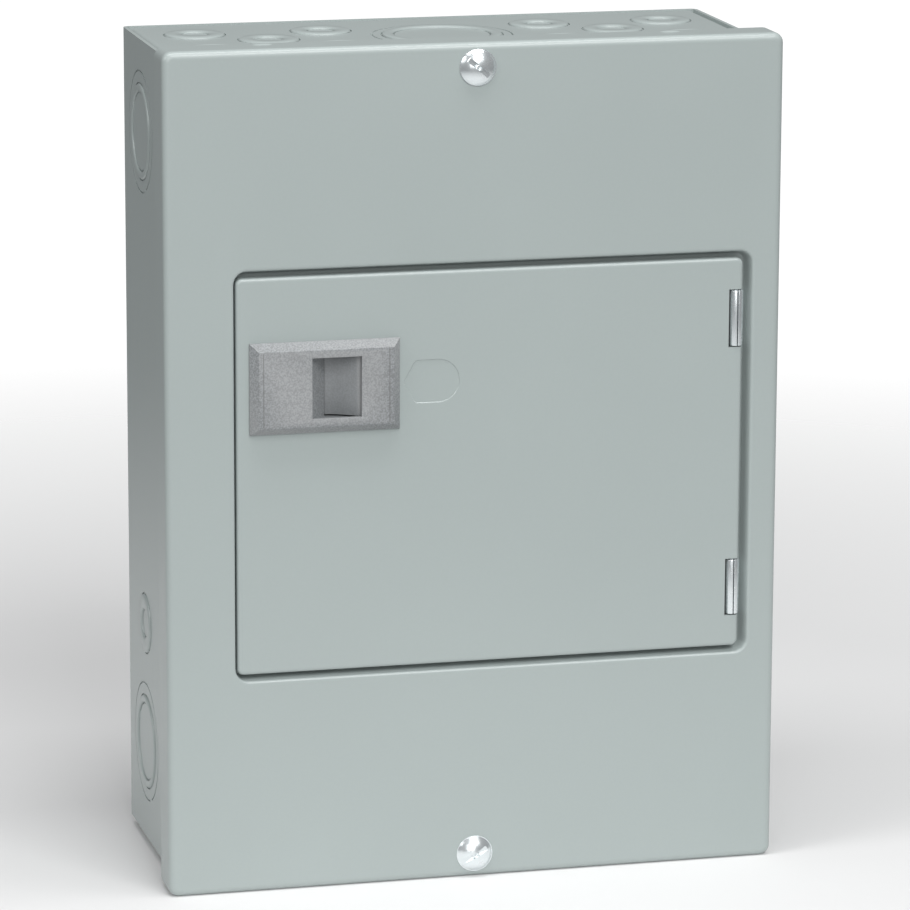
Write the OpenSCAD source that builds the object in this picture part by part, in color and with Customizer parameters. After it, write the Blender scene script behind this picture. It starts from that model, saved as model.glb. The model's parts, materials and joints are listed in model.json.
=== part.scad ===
// Residential load center: a surface-mounted steel box, its screwed cover with a hinged
// door and sliding latch, and the bus, lugs, wire bars and plug-on breakers that it holds.
// Origin: centre of the back face that lies on the wall. +X right, +Y into the wall, +Z up.

/* [Enclosure] */
// Width of the cover
cover_w = 226; // [224:1:236]
// Height of the cover
cover_h = 306; // [302:1:330]
// Depth from the wall to the face of the cover
depth = 96.5; // [96:0.5:102]
// How far the cover stands out past each wall of the box
overhang = 4; // [3.5:0.5:5]
// Depth of the cover's turned-back lip
lip_d = 15; // [12:1:20]
// Thickness of the box's steel
box_t = 1.4; // [1.2:0.1:1.6]
// Thickness of the cover's and the door's steel
cover_t = 1.2; // [1:0.1:1.3]
// Distance of each cover screw from the cover's top or bottom edge
cover_screw_inset = 8.8; // [8.4:0.1:9.6]

/* [Door] */
// Width of the door
door_w = 186.5; // [184:0.5:188]
// Height of the door
door_h = 144; // [140:1:150]
// From the cover's left edge to the door's left edge
door_left = 25.5; // [24:0.5:26]
// Depth of the pressed recess that the door lies in
recess_d = 5.8; // [5.6:0.1:6.4]
// From the door's top or bottom edge to the middle of each hinge
hinge_inset = 22.1; // [20:0.1:26]
// Length of each hinge barrel
hinge_len = 20.3; // [18:0.1:22]
// Travel of the latch slide
latch_travel = 4.5; // [3:0.1:4.5]

/* [Breakers] */
// Height of the space that one pole takes
pole_pitch = 25.4; // [25:0.1:26]
// Tilt of a breaker handle to each side of its middle position
handle_tilt = 20; // [15:1:22]

/* [Wiring] */
// Radius of the wire hole in the main and neutral lugs
lug_bore_r = 6.5; // [5:0.1:6.6]
// Radius of the wire holes in the neutral and ground bars
bar_bore_r = 2.6; // [2.2:0.1:2.8]
// Radius of the four wall mounting holes
wall_hole_r = 3.2; // [2.5:0.1:4]

/* [Hidden] */
$fn = 48;

paint = [0.66, 0.71, 0.69];
zinc = [0.82, 0.84, 0.86];
plate_grey = [0.60, 0.61, 0.62];
galvanised = [0.70, 0.72, 0.73];
tinned = [0.78, 0.78, 0.76];
alloy = [0.74, 0.75, 0.76];
black_plastic = [0.10, 0.10, 0.11];
handle_black = [0.05, 0.05, 0.05];
screw_green = [0.10, 0.45, 0.20];
card_white = [0.93, 0.92, 0.88];

eps = 0.01;
face_y = -depth;
box_w = cover_w - 2 * overhang;
box_h = cover_h - 2 * overhang;
box_front_y = face_y + cover_t + 0.3;
inner_w = box_w - 2 * box_t;

// The end walls sit inside the wrap, a hair below its edges
endwall_gap = 0.2;
endwall_z = box_h / 2 - endwall_gap;
endwall_w = inner_w - 0.6;
endwall_back_y = -box_t - 0.1;
endwall_flange = 13;
box_bend_r = 2.6;

// Ring radii of the knockouts, and where they stand in the walls
half_knockout = [11.1, 5];
double_knockout = [11.1, 14.1];
centre_knockout = [17.5, 22, 25.4];
side_knockout = [14.3, 17.5, 22];
back_row_y = -26.5;
mid_row_y = -44.5;
front_row_y = -67.5;
side_row_y = -34;

cover_screw_z = cover_h / 2 - cover_screw_inset;
cover_screw_r = 2.1;

// The door, its recess and the deeper breaker pan, each as [left, right, bottom, top]
door_x0 = -cover_w / 2 + door_left;
door_x1 = door_x0 + door_w;
door_z1 = door_h / 2;
door_y = face_y + 0.1;
door_flange = 3.65;
door_inner_y = door_y + cover_t;
recess_front = [door_x0 - 1.2, door_x1 + 5.5, -door_z1 - 4, door_z1 + 4.2];
recess_floor = [door_x0 - 0.9, door_x1 + 2.2, -door_z1 - 1.2, door_z1 + 1.2];
ledge_y = face_y + recess_d;
pan_outline = [door_x0 + 6.5, door_x1 - 6.8, -door_z1 + 6.5, door_z1 - 6.5];
pan_floor_y = face_y + 17.5;
pan_back_y = pan_floor_y + cover_t;

hinge_x = door_x1 - 1.95;
hinge_y = face_y + 2.2;
hinge_z = door_z1 - hinge_inset;
barrel_r = 2.65;
pin_r = 0.9;
barrel_bore_r = 0.95;
pin_seat_r = 0.92;
ear_len = 4.6;
ear_r = 1.85;

// The latch: u runs right from its plate's left edge, v back from its plate's face
latch_w = 54.5;
latch_h = 33;
latch_proud = 4;
latch_x = door_x0 + 4.7;
latch_y = door_y - latch_proud;
latch_z = door_z1 - 23.3 - latch_h / 2;
latch_bevel = 2.7;
window_u = 22;
window_w = 18;
window_h = 22;
cavity_u = 49.5;
slide_u = cavity_u - 1 - latch_travel;
well_v = 7.9;
housing_v = 10.2;

// The middle of each row of poles, top first
row_z = [pole_pitch, 0, -pole_pitch];
case_half = pole_pitch / 2 - 0.3;
case_back_y = -20.5;
case_front_y = pan_back_y + 0.5;
escutcheon_y = pan_floor_y - 1.6;
pivot_x = 28;
pivot_y = case_front_y + 6.3;
hub_r = 8.6;
lever_len = 16.5;
trunnion_r = 2;
shelf_y = case_front_y + 18;

back_y = -box_t;
deck_y = -10;
base_y = -16;
bus_y = -19;
bus_x = 17;
stab_x = 7.5;
main_lug_z = 84;
main_lug_len = 22;
bar_pitch = 8;
neutral_n = 10;
neutral_x = -50;
neutral_y = -17;
neutral_z = -65.5;
ground_n = 8;
ground_x = -62;
ground_y = -5;
ground_z = -113.5;

// The five poles that are fitted, as [side, row]
poles = [[-1, 0], [-1, 1], [-1, 2], [1, 0], [1, 1]];

wall_hole_x = 75;
wall_hole_z = 125;
pan_screw_x = 73;
pan_screw_z = [-70, 100];
ground_fixing_x = [-66, 6];

// ---- Shapes that repeat ----

module block(lo, hi) {
    translate(lo) cube(hi - lo);
}

module round_rect(w, h, r) {
    square([w - 2 * r, h], center = true);
    square([w, h - 2 * r], center = true);
    for (sx = [-1, 1], sy = [-1, 1])
        translate([sx * (w / 2 - r), sy * (h / 2 - r)]) circle(r);
}

// A sheet's section with two rounded bends at y = 0 and its open side at y = -d
module bent_outline(span, d, r) {
    translate([-span / 2, -d]) square([span, d - r]);
    translate([-(span / 2 - r), -d]) square([span - 2 * r, d]);
    for (s = [-1, 1]) translate([s * (span / 2 - r), -r]) circle(r);
}

// A block with a rounded outline and rounded edges round its closed face at z = 0
module bent_block(w, h, d, corner_r, bend_r) {
    intersection() {
        translate([0, 0, -d]) linear_extrude(d) round_rect(w, h, corner_r);
        rotate([90, 0, 0]) linear_extrude(h + 2, center = true) bent_outline(w, d, bend_r);
        rotate([90, 0, 90]) linear_extrude(w + 2, center = true) bent_outline(h, d, bend_r);
    }
}

// A pressed tray of sheet t thick: its closed face at z = 0, its walls running to z = -d
module pressed_tray(w, h, d, t, corner_r, bend_r) {
    difference() {
        bent_block(w, h, d, corner_r, bend_r);
        translate([0, 0, -t]) bent_block(w - 2 * t, h - 2 * t, d, corner_r - t, bend_r - t);
    }
}

// A plate facing the room, from y to y + thick, with its outline as [left, right, bottom, top]
module outline_plate(o, y, thick, r, grow = 0) {
    translate([(o[0] + o[1]) / 2, y, (o[2] + o[3]) / 2]) rotate([-90, 0, 0])
        linear_extrude(thick) round_rect(o[1] - o[0] + 2 * grow, o[3] - o[2] + 2 * grow, r + grow);
}

// The score lines of a knockout, cut into a wall whose outside faces +Z at z = 0
module knockout_cut(radii, turn = 0) {
    line_half = 0.3;
    score = 0.5;
    tie_w = 3;
    for (i = [0 : len(radii) - 1]) difference() {
        translate([0, 0, -score]) cylinder(r = radii[i] + line_half, h = 2 * score);
        translate([0, 0, -2 * score]) cylinder(r = radii[i] - line_half, h = 4 * score);
        rotate(turn + 70 * i) translate([radii[i], 0, 0]) cube([4, tie_w, 4], center = true);
    }
}

// A screw facing the room: its head's back at y = 0, its shank running back into +Y
module front_screw(head_r, head_h, shank_r, shank_len, slot_w = 1, turn = 0) {
    difference() {
        union() {
            rotate([90, 0, 0]) cylinder(r = head_r, h = head_h);
            rotate([-90, 0, 0]) translate([0, 0, -eps]) cylinder(r = shank_r, h = shank_len + eps);
        }
        rotate([0, turn, 0]) translate([0, -head_h, 0])
            cube([3 * head_r, head_h, slot_w], center = true);
    }
}

// ---- Enclosure ----

module endwall() {
    run = endwall_back_y - box_front_y;
    translate([0, (endwall_back_y + box_front_y) / 2, endwall_z]) difference() {
        pressed_tray(endwall_w, run, endwall_flange, box_t, box_bend_r, box_bend_r);
        translate([0, -run / 2 + box_t + 1, cover_screw_z - endwall_z])
            rotate([90, 0, 0]) cylinder(r = cover_screw_r + 0.1, h = 3 * box_t, center = false);
    }
}

module endwall_knockouts() {
    translate([0, 0, endwall_z]) {
        for (s = [-1, 1]) {
            for (x = [87.5, 41]) {
                translate([s * x, back_row_y, 0]) knockout_cut(half_knockout, 40);
                translate([s * x, front_row_y, 0]) knockout_cut(double_knockout, 130);
            }
            translate([s * 64, mid_row_y, 0]) knockout_cut(half_knockout, 90);
        }
        translate([0, mid_row_y, 0]) knockout_cut(centre_knockout, 20);
    }
}

module top_endwall() {
    color(paint) difference() {
        endwall();
        endwall_knockouts();
    }
}

module bottom_endwall() {
    color(paint) mirror([0, 0, 1]) difference() {
        endwall();
        endwall_knockouts();
    }
}

module enclosure_wrap() {
    wrap_d = -box_front_y;
    color(paint) difference() {
        linear_extrude(box_h, center = true) difference() {
            bent_outline(box_w, wrap_d, box_bend_r);
            translate([0, -box_t]) bent_outline(inner_w, wrap_d, box_bend_r - box_t);
        }
        for (s = [-1, 1], z = [-112, 115.5])
            translate([s * box_w / 2, side_row_y, z]) rotate([0, s * 90, 0]) knockout_cut(side_knockout, 60);
        for (s = [-1, 1])
            translate([s * box_w / 2, side_row_y, -67]) rotate([0, s * 90, 0]) knockout_cut(half_knockout, 60);
        for (sx = [-1, 1], sz = [-1, 1])
            translate([sx * wall_hole_x, 1, sz * wall_hole_z]) rotate([90, 0, 0])
                cylinder(r = wall_hole_r, h = 2 * box_t + 1);
        for (s = [-1, 1], z = pan_screw_z)
            translate([s * pan_screw_x, 1, z]) rotate([90, 0, 0]) cylinder(r = 2.1, h = 2 * box_t + 1);
        for (x = ground_fixing_x)
            translate([x, 1, ground_z]) rotate([90, 0, 0]) cylinder(r = 2.1, h = 2 * box_t + 1);
    }
}

// The shape pressed out of a sheet for the door's sloped recess, grown by g for its back
module recess_form(g) {
    hull() {
        outline_plate(recess_front, face_y + g / 3 - eps, 0.02, 6, g, $fn = 32);
        outline_plate(recess_floor, ledge_y + g - 0.02, 0.02, 3, g, $fn = 32);
    }
}

module cover() {
    window_z = 1.5 * pole_pitch + 0.3;
    strike_half = 8.5;
    color(paint) difference() {
        union() {
            translate([0, face_y, 0]) rotate([90, 0, 0])
                pressed_tray(cover_w, cover_h, lip_d, cover_t, 3.7, 2.3);
            recess_form(cover_t);
            outline_plate(pan_outline, ledge_y, pan_back_y - ledge_y, 4, cover_t);
            for (x = [-75, 74])
                translate([x, face_y + lip_d - 2.2, cover_h / 2 - 0.8]) rotate([0, 90, 0])
                    cylinder(r = 1.3, h = 10, center = true);
        }
        recess_form(0);
        outline_plate(pan_outline, ledge_y - 1, pan_floor_y - ledge_y + 1, 4);
        for (s = [-1, 1])
            block([s * 28 - 21, pan_floor_y - 1, -window_z], [s * 28 + 21, pan_back_y + 1, window_z]);
        for (s = [-1, 1])
            translate([0, face_y - 1, s * cover_screw_z]) rotate([-90, 0, 0])
                cylinder(r = cover_screw_r + 0.5, h = cover_t + 2);
        block([door_x0 - 3, ledge_y - 2.2, latch_z - strike_half],
              [door_x0 - 0.5, ledge_y - 0.4, latch_z + strike_half]);
    }
}

module cover_screw(turn) {
    head_r = 6.7;
    dome_r = 9;
    head_h = 3;
    rise = sqrt(dome_r * dome_r - head_r * head_r);
    difference() {
        union() {
            rotate([90, 0, 0]) intersection() {
                translate([0, 0, -rise]) sphere(dome_r);
                cylinder(r = head_r, h = head_h);
            }
            rotate([-90, 0, 0]) translate([0, 0, -eps]) cylinder(r = cover_screw_r, h = 9);
        }
        rotate([0, turn, 0]) translate([0, -head_h, 0]) cube([3 * head_r, 2.2, 1.5], center = true);
    }
}

module cover_screws() {
    color(zinc) {
        translate([0, face_y - 0.02, cover_screw_z]) cover_screw(40);
        translate([0, face_y - 0.02, -cover_screw_z]) cover_screw(-28);
    }
}

// ---- Door, hinges and latch ----

// The part-punched blank for a lock: flat above and below, round to the right, pointed left
module lock_blank() {
    half_h = 8;
    polygon([[-10.5, 0], [-6, half_h], [2.5, half_h], [2.5, -half_h], [-6, -half_h]]);
    translate([2.5, 0]) circle(half_h);
}

module door() {
    notch_half = hinge_len / 2 + 0.45;
    color(paint) difference() {
        union() {
            translate([(door_x0 + door_x1) / 2, door_y, 0]) rotate([90, 0, 0])
                pressed_tray(door_w, door_h, door_flange, cover_t, 2.6, 1.6);
            for (s = [-1, 1], e = [-1, 1])
                translate([hinge_x, hinge_y, s * hinge_z + e * (notch_half + ear_len / 2)])
                    cylinder(r = ear_r, h = ear_len, center = true);
        }
        for (s = [-1, 1]) {
            block([hinge_x - 3.2, door_y - 1, s * hinge_z - notch_half],
                  [door_x1 + 1, door_y + door_flange + 1, s * hinge_z + notch_half]);
            translate([hinge_x, hinge_y, s * hinge_z])
                cylinder(r = pin_seat_r, h = 2 * (notch_half + ear_len) + 1, center = true);
        }
        block([latch_x + 3.3, door_y - 1, latch_z - 13.2], [latch_x + 51.2, door_inner_y + 1, latch_z + 13.2]);
        translate([door_x0 + 71, door_y, latch_z]) rotate([90, 0, 0])
            linear_extrude(0.7, center = true) difference() {
                scale(1.03) lock_blank();
                scale(0.97) lock_blank();
            }
    }
}

module hinge_strap(z) {
    strap_t = 0.9;
    half = hinge_len / 2;
    tail_x = hinge_x + barrel_r - strap_t;
    color(zinc) difference() {
        union() {
            translate([hinge_x, hinge_y, z]) cylinder(r = barrel_r, h = hinge_len, center = true);
            block([tail_x, hinge_y, z - half], [tail_x + strap_t, ledge_y, z + half]);
            block([hinge_x - 4.6, ledge_y - strap_t, z - half], [tail_x + strap_t, ledge_y, z + half]);
        }
        translate([hinge_x, hinge_y, z]) cylinder(r = barrel_bore_r, h = hinge_len + 2, center = true);
    }
}

module upper_hinge_strap() hinge_strap(hinge_z);
module lower_hinge_strap() hinge_strap(-hinge_z);

module hinge_pin(z) {
    color(zinc) translate([hinge_x, hinge_y, z])
        cylinder(r = pin_r, h = hinge_len + 2 * ear_len + 0.5, center = true);
}

module upper_hinge_pin() hinge_pin(hinge_z);
module lower_hinge_pin() hinge_pin(-hinge_z);

module in_latch() translate([latch_x, latch_y, latch_z]) children();

// A section drawn in u and v, run along Z to both sides of the latch's middle
module latch_prism(half) linear_extrude(2 * half, center = true) children();

module latch_bezel() {
    edge = 0.8;
    intersection() {
        translate([latch_w / 2, 0, 0]) latch_prism(latch_h / 2) polygon([
            [-latch_w / 2, latch_proud], [-latch_w / 2, latch_proud - edge],
            [-latch_w / 2 + latch_bevel, 0], [latch_w / 2 - latch_bevel, 0],
            [latch_w / 2, latch_proud - edge], [latch_w / 2, latch_proud]]);
        rotate([90, 0, 90]) linear_extrude(latch_w) polygon([
            [latch_proud, -latch_h / 2], [latch_proud - edge, -latch_h / 2],
            [0, -latch_h / 2 + latch_bevel], [0, latch_h / 2 - latch_bevel],
            [latch_proud - edge, latch_h / 2], [latch_proud, latch_h / 2]]);
    }
}

module latch_plate() {
    skin = 2;
    color(plate_grey) in_latch() {
        difference() {
            union() {
                latch_bezel();
                block([3.5, latch_proud - 1, -13], [51, housing_v, 13]);
            }
            block([5, skin, -11.6], [cavity_u, housing_v + 1, 11.6]);
            block([window_u, -1, -window_h / 2], [window_u + window_w, skin + 1, window_h / 2]);
            block([3, well_v - 0.1, -7.6], [6, housing_v + 1, 7.6]);
        }
        latch_prism(11.7) polygon([[20.4, 1.5], [window_u, 1.5], [28, well_v], [26.4, well_v]]);
        block([20.2, 1.5, -4], [22.2, well_v - 2, 4]);
    }
}

module latch_slide() {
    ramp_x = 28.3;
    ramp_run = 10.7;
    steps = 10;
    slope = [for (i = [0 : steps]) [ramp_x + ramp_run * i / steps, 8 - 5.6 * pow(i / steps, 1.5)]];
    color(plate_grey) in_latch() {
        block([5.6, 8.2, -11], [slide_u, 10, 11]);
        block([-5.5, 8.1, -7], [5.7, 9.3, 7]);
        block([7, 2.6, -4], [8.6, 8.3, 4]);
        latch_prism(11) polygon(concat([[ramp_x, 8.3]], slope, [[slide_u, 2.4], [slide_u, 8.3]]));
    }
}

// A coil spring along +X from x = 0, as a tube swept round a helix
module coil_spring(len, coil_r, wire_r, turns) {
    sides = 8;
    per_turn = 16;
    rings = turns * per_turn;
    points = [for (i = [0 : rings], k = [0 : sides - 1])
        let (a = 360 * i / per_turn, b = 360 * k / sides, r = coil_r + wire_r * cos(b))
        [wire_r + (len - 2 * wire_r) * i / rings + wire_r * sin(b), r * cos(a), r * sin(a)]];
    walls = [for (i = [0 : rings - 1], k = [0 : sides - 1])
        let (n = (k + 1) % sides)
        [i * sides + k, i * sides + n, (i + 1) * sides + n, (i + 1) * sides + k]];
    start = [[for (k = [sides - 1 : -1 : 0]) k]];
    end = [[for (k = [0 : sides - 1]) rings * sides + k]];
    polyhedron(points, concat(walls, start, end));
}

module latch_spring() {
    color(zinc) in_latch() translate([8.7, 5, 0]) coil_spring(11.4, 2.1, 0.3, 6);
}

module latch_retainer() {
    color(plate_grey) in_latch() block([3.5, housing_v + 0.02, -13], [51, housing_v + 1.2, 13]);
}

module directory_card() {
    color(card_white) outline_plate([-18, 82, -52, 52], door_inner_y + 0.01, 0.3, 2);
}

// ---- Mounting pan, bus and lugs ----

module mounting_pan() {
    sheet = 1.5;
    z0 = -82;
    z1 = 112;
    color(galvanised) difference() {
        union() {
            block([-66, deck_y, z0], [66, deck_y + sheet, z1]);
            for (s = [0, 1]) mirror([s, 0, 0]) {
                block([66 - sheet, deck_y, z0], [66, back_y - 0.02, z1]);
                block([66 - sheet, back_y - 0.02 - sheet, z0], [80, back_y - 0.02, z1]);
                block([72, -24, -37], [72 + sheet, back_y - sheet, 37]);
                block([72, -24, -37], [76, -24 + sheet, 37]);
            }
        }
        for (s = [-1, 1], z = pan_screw_z)
            translate([s * pan_screw_x, 0, z]) rotate([90, 0, 0]) cylinder(r = 2.2, h = 6);
        translate([-56, 0, neutral_z]) rotate([90, 0, 0]) cylinder(r = 2.1, h = 14);
    }
}

module pan_screws() {
    color(zinc) for (s = [-1, 1], z = pan_screw_z)
        translate([s * pan_screw_x, back_y - 1.54, z]) front_screw(4, 2.2, 2, 2.8, 1.1, 30);
}

module bus_base() {
    color(black_plastic) {
        block([-36, base_y, -50], [36, deck_y - 0.02, 108]);
        for (z = [-1.5, -0.5, 0.5, 1.5])
            block([-10, base_y - 4, z * pole_pitch - 1], [10, base_y + 1, z * pole_pitch + 1]);
    }
}

// One bus bar down the side s, with an arm and a pair of stabs at each of its rows
module bus_bar(s, rows) {
    color(tinned) {
        block([s * bus_x - 5, bus_y, row_z[2] - 7], [s * bus_x + 5, base_y - 0.02, main_lug_z + main_lug_len]);
        for (r = rows) {
            z = row_z[r];
            block([min(-s * 9, s * bus_x), bus_y, z - 6], [max(-s * 9, s * bus_x), base_y - 0.02, z + 6]);
            for (e = [-1, 1])
                block([e * stab_x - 0.8, -38, z - 6.4], [e * stab_x + 0.8, bus_y + 1, z + 6.4]);
        }
    }
}

module bus_bar_a() bus_bar(-1, [0, 2]);
module bus_bar_b() bus_bar(1, [1]);

module bus_screws() {
    color(zinc) for (s = [-1, 1], z = [60])
        translate([s * bus_x, bus_y - 0.02, z]) front_screw(4, 2, 1, eps, 1, 50);
}

// A wire lug: a block whose wire hole runs up through it, its set screw hole facing the room
module lug_body(w, d, h, bore_y) {
    difference() {
        block([-w / 2, -d, 0], [w / 2, 0, h]);
        translate([0, bore_y, -1]) cylinder(r = lug_bore_r, h = h + 2);
        translate([0, bore_y, h / 2]) rotate([90, 0, 0]) cylinder(r = 5.6, h = d);
    }
}

// A lug's set screw, backed out until its tip clears the wire hole
module set_screw(bore_y, h) {
    tip = bore_y - lug_bore_r - 0.2;
    translate([0, tip, h / 2]) difference() {
        rotate([90, 0, 0]) cylinder(r = 5.5, h = 9);
        translate([0, -9, 0]) rotate([90, 0, 0]) cylinder(r = 3.2, h = 8, center = true, $fn = 6);
    }
}

module at_main_lug(s) translate([s * bus_x, bus_y - 0.02, main_lug_z]) children();

module main_lug_a() color(alloy) at_main_lug(-1) lug_body(18, 24, main_lug_len, -11);
module main_lug_b() color(alloy) at_main_lug(1) lug_body(18, 24, main_lug_len, -11);

module main_lug_screws() {
    color(alloy) for (s = [-1, 1]) at_main_lug(s) set_screw(-11, main_lug_len);
}

// A wire bar n holes long, from x = 0, with its wire holes up through it and screws in front
module wire_bar(n, d, h, bore_y) {
    difference() {
        block([0, -d, -h / 2], [n * bar_pitch, 0, h / 2]);
        for (i = [0 : n - 1]) translate([(i + 0.5) * bar_pitch, 0, 0]) {
            translate([0, bore_y, -h]) cylinder(r = bar_bore_r, h = 2 * h);
            translate([0, bore_y, 0]) rotate([90, 0, 0]) cylinder(r = 2.1, h = d);
        }
    }
}

module wire_bar_screws(n, bore_y) {
    for (i = [0 : n - 1])
        translate([(i + 0.5) * bar_pitch, bore_y - bar_bore_r - 5.4, 0])
            front_screw(3, 2, 2, 5.2, 0.9, 20 * i);
}

module neutral_bar() {
    color(alloy) translate([neutral_x, neutral_y, neutral_z]) {
        wire_bar(neutral_n, 11, 10, -4);
        difference() {
            block([-12, -6, -5], [eps, 0, 5]);
            translate([-6, 1, 0]) rotate([90, 0, 0]) cylinder(r = 2.1, h = 8);
        }
    }
}

module neutral_supports() {
    color(black_plastic) difference() {
        union() {
            block([-62, neutral_y + 0.02, neutral_z - 7], [-44, deck_y - 0.02, neutral_z + 7]);
            block([16, neutral_y + 0.02, neutral_z - 9], [52, deck_y - 0.02, neutral_z + 9]);
        }
        translate([-56, 0, neutral_z]) rotate([90, 0, 0]) cylinder(r = 2.1, h = 20);
    }
}

module neutral_bar_screws() {
    color(zinc) translate([neutral_x, neutral_y, neutral_z]) wire_bar_screws(neutral_n, -4);
}

module at_neutral_lug() translate([40, neutral_y, neutral_z - 9]) children();

module neutral_lug() color(alloy) at_neutral_lug() lug_body(19, 24, 18, -11);
module neutral_lug_screw() color(alloy) at_neutral_lug() set_screw(-11, 18);

module bonding_screw() {
    color(screw_green) translate([-56, neutral_y - 6.02, neutral_z]) front_screw(4.2, 2.4, 2, 14, 1.1, 15);
}

module ground_bar() {
    color(alloy) difference() {
        union() {
            translate([ground_x, ground_y, ground_z]) wire_bar(ground_n, 10, 9, -3.8);
            for (x = ground_fixing_x)
                block([x - 4, ground_y - 6, ground_z - 4.5], [x + 4.02, ground_y, ground_z + 4.5]);
            for (x = ground_fixing_x)
                translate([x, ground_y, ground_z]) rotate([-90, 0, 0])
                    cylinder(r = 4, h = back_y - ground_y - 0.02);
        }
        for (x = ground_fixing_x)
            translate([x, 0, ground_z]) rotate([90, 0, 0]) cylinder(r = 2.1, h = 20);
    }
}

module ground_bar_screws() {
    color(zinc) translate([ground_x, ground_y, ground_z]) wire_bar_screws(ground_n, -3.8);
}

module ground_bar_fixings() {
    color(zinc) for (x = ground_fixing_x)
        translate([x, ground_y - 6.02, ground_z]) front_screw(3.6, 2.2, 2, 10.8, 1, 70);
}

// ---- Breakers ----

// A breaker case on the right-hand side, spanning the given rows, first row uppermost
module right_case(rows) {
    top = row_z[rows[0]] + case_half;
    bottom = row_z[rows[len(rows) - 1]] - case_half;
    difference() {
        translate([0, 0, bottom]) linear_extrude(top - bottom) polygon([
            [2, case_back_y], [71, case_back_y], [71, case_back_y - 5], [78, case_back_y - 5],
            [78, shelf_y + 1], [64, shelf_y], [62, case_front_y], [48, case_front_y],
            [48, escutcheon_y], [8, escutcheon_y], [8, case_front_y], [2, case_front_y]]);
        for (r = rows) translate([0, 0, row_z[r]]) {
            translate([pivot_x, pivot_y, 0]) cylinder(r = hub_r + 0.5, h = 11.4, center = true);
            block([pivot_x - 11, escutcheon_y - 1, -5.7], [pivot_x + 11, pivot_y, 5.7]);
            translate([pivot_x, pivot_y, 0]) cylinder(r = trunnion_r + 0.05, h = 16, center = true);
            block([4.5, -41, -8], [11, case_back_y + 1, 8]);
            translate([71, shelf_y + 8, 0]) rotate([90, 0, 0]) cylinder(r = 4.3, h = 12);
            translate([64, shelf_y + 9, 0]) rotate([0, 90, 0]) cylinder(r = 3.2, h = 16);
        }
    }
}

module left_case(row) {
    color(black_plastic) mirror([1, 0, 0]) right_case([row]);
}

module breaker_top_left_case() left_case(0);
module breaker_middle_left_case() left_case(1);
module breaker_bottom_left_case() left_case(2);
module two_pole_case() color(black_plastic) right_case([0, 1]);

// A right-hand handle, switched on: its lever leans towards the middle of the panel
module right_handle(row, tie_bore = false) {
    translate([pivot_x, pivot_y, row_z[row]]) rotate([0, 0, -handle_tilt]) difference() {
        union() {
            cylinder(r = hub_r, h = 10.8, center = true);
            cylinder(r = trunnion_r, h = 15.6, center = true);
            linear_extrude(9, center = true) polygon([[-4.4, -4], [-3, -lever_len], [3, -lever_len], [4.4, -4]]);
        }
        if (tie_bore) translate([0, -13.4, 0]) cylinder(r = 1.2, h = 12, center = true);
    }
}

module left_handle(row) {
    color(handle_black) mirror([1, 0, 0]) right_handle(row);
}

module breaker_top_left_handle() left_handle(0);
module breaker_middle_left_handle() left_handle(1);
module breaker_bottom_left_handle() left_handle(2);
module two_pole_upper_handle() color(handle_black) right_handle(0, true);
module two_pole_lower_handle() color(handle_black) right_handle(1, true);

module handle_tie_pin() {
    color(zinc) translate([pivot_x, pivot_y, pole_pitch / 2]) rotate([0, 0, -handle_tilt])
        translate([0, -13.4, 0]) cylinder(r = 1.15, h = pole_pitch + 11, center = true);
}

module breaker_line_jaws() {
    leaf = 0.8;
    gap = 0.2;
    color(tinned) for (p = poles) translate([p[0] * stab_x, 0, row_z[p[1]]])
        for (e = [-1, 1]) {
            inner = 0.8 + gap;
            block([min(e * inner, e * (inner + leaf)), -39.5, -5], [max(e * inner, e * (inner + leaf)), -23, 5]);
            block([-inner - leaf, -39.8, -5], [inner + leaf, -39, 5]);
        }
}

module breaker_terminal_screws() {
    color(zinc) for (p = poles)
        translate([p[0] * 71, shelf_y + 2.2, row_z[p[1]]]) front_screw(4.2, 2, 2, 2.2, 1.1, 60 + 35 * p[1]);
}

module filler_plate() {
    z = row_z[2];
    half = case_half;
    color(black_plastic) {
        block([5.5, pan_floor_y - 1.4, z - half], [50.5, pan_floor_y - 0.1, z + half]);
        for (x = [7.3, 47.5])
            block([x, pan_floor_y - 0.2, z - 8], [x + 1.2, pan_back_y + 4, z + 8]);
        block([7.3, pan_back_y + 3, z - 8], [48.7, pan_back_y + 4, z + 8]);
    }
}

enclosure_wrap();
top_endwall();
bottom_endwall();
cover();
cover_screws();
door();
upper_hinge_strap();
lower_hinge_strap();
upper_hinge_pin();
lower_hinge_pin();
latch_plate();
latch_slide();
latch_spring();
latch_retainer();
directory_card();
mounting_pan();
pan_screws();
bus_base();
bus_bar_a();
bus_bar_b();
bus_screws();
main_lug_a();
main_lug_b();
main_lug_screws();
neutral_bar();
neutral_supports();
neutral_bar_screws();
neutral_lug();
neutral_lug_screw();
bonding_screw();
ground_bar();
ground_bar_screws();
ground_bar_fixings();
breaker_top_left_case();
breaker_middle_left_case();
breaker_bottom_left_case();
breaker_top_left_handle();
breaker_middle_left_handle();
breaker_bottom_left_handle();
two_pole_case();
two_pole_upper_handle();
two_pole_lower_handle();
handle_tie_pin();
breaker_line_jaws();
breaker_terminal_screws();
filler_plate();
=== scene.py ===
import json
from math import cos, pi, radians, sin

import bmesh
import bpy
from mathutils import Matrix, Vector

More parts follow.
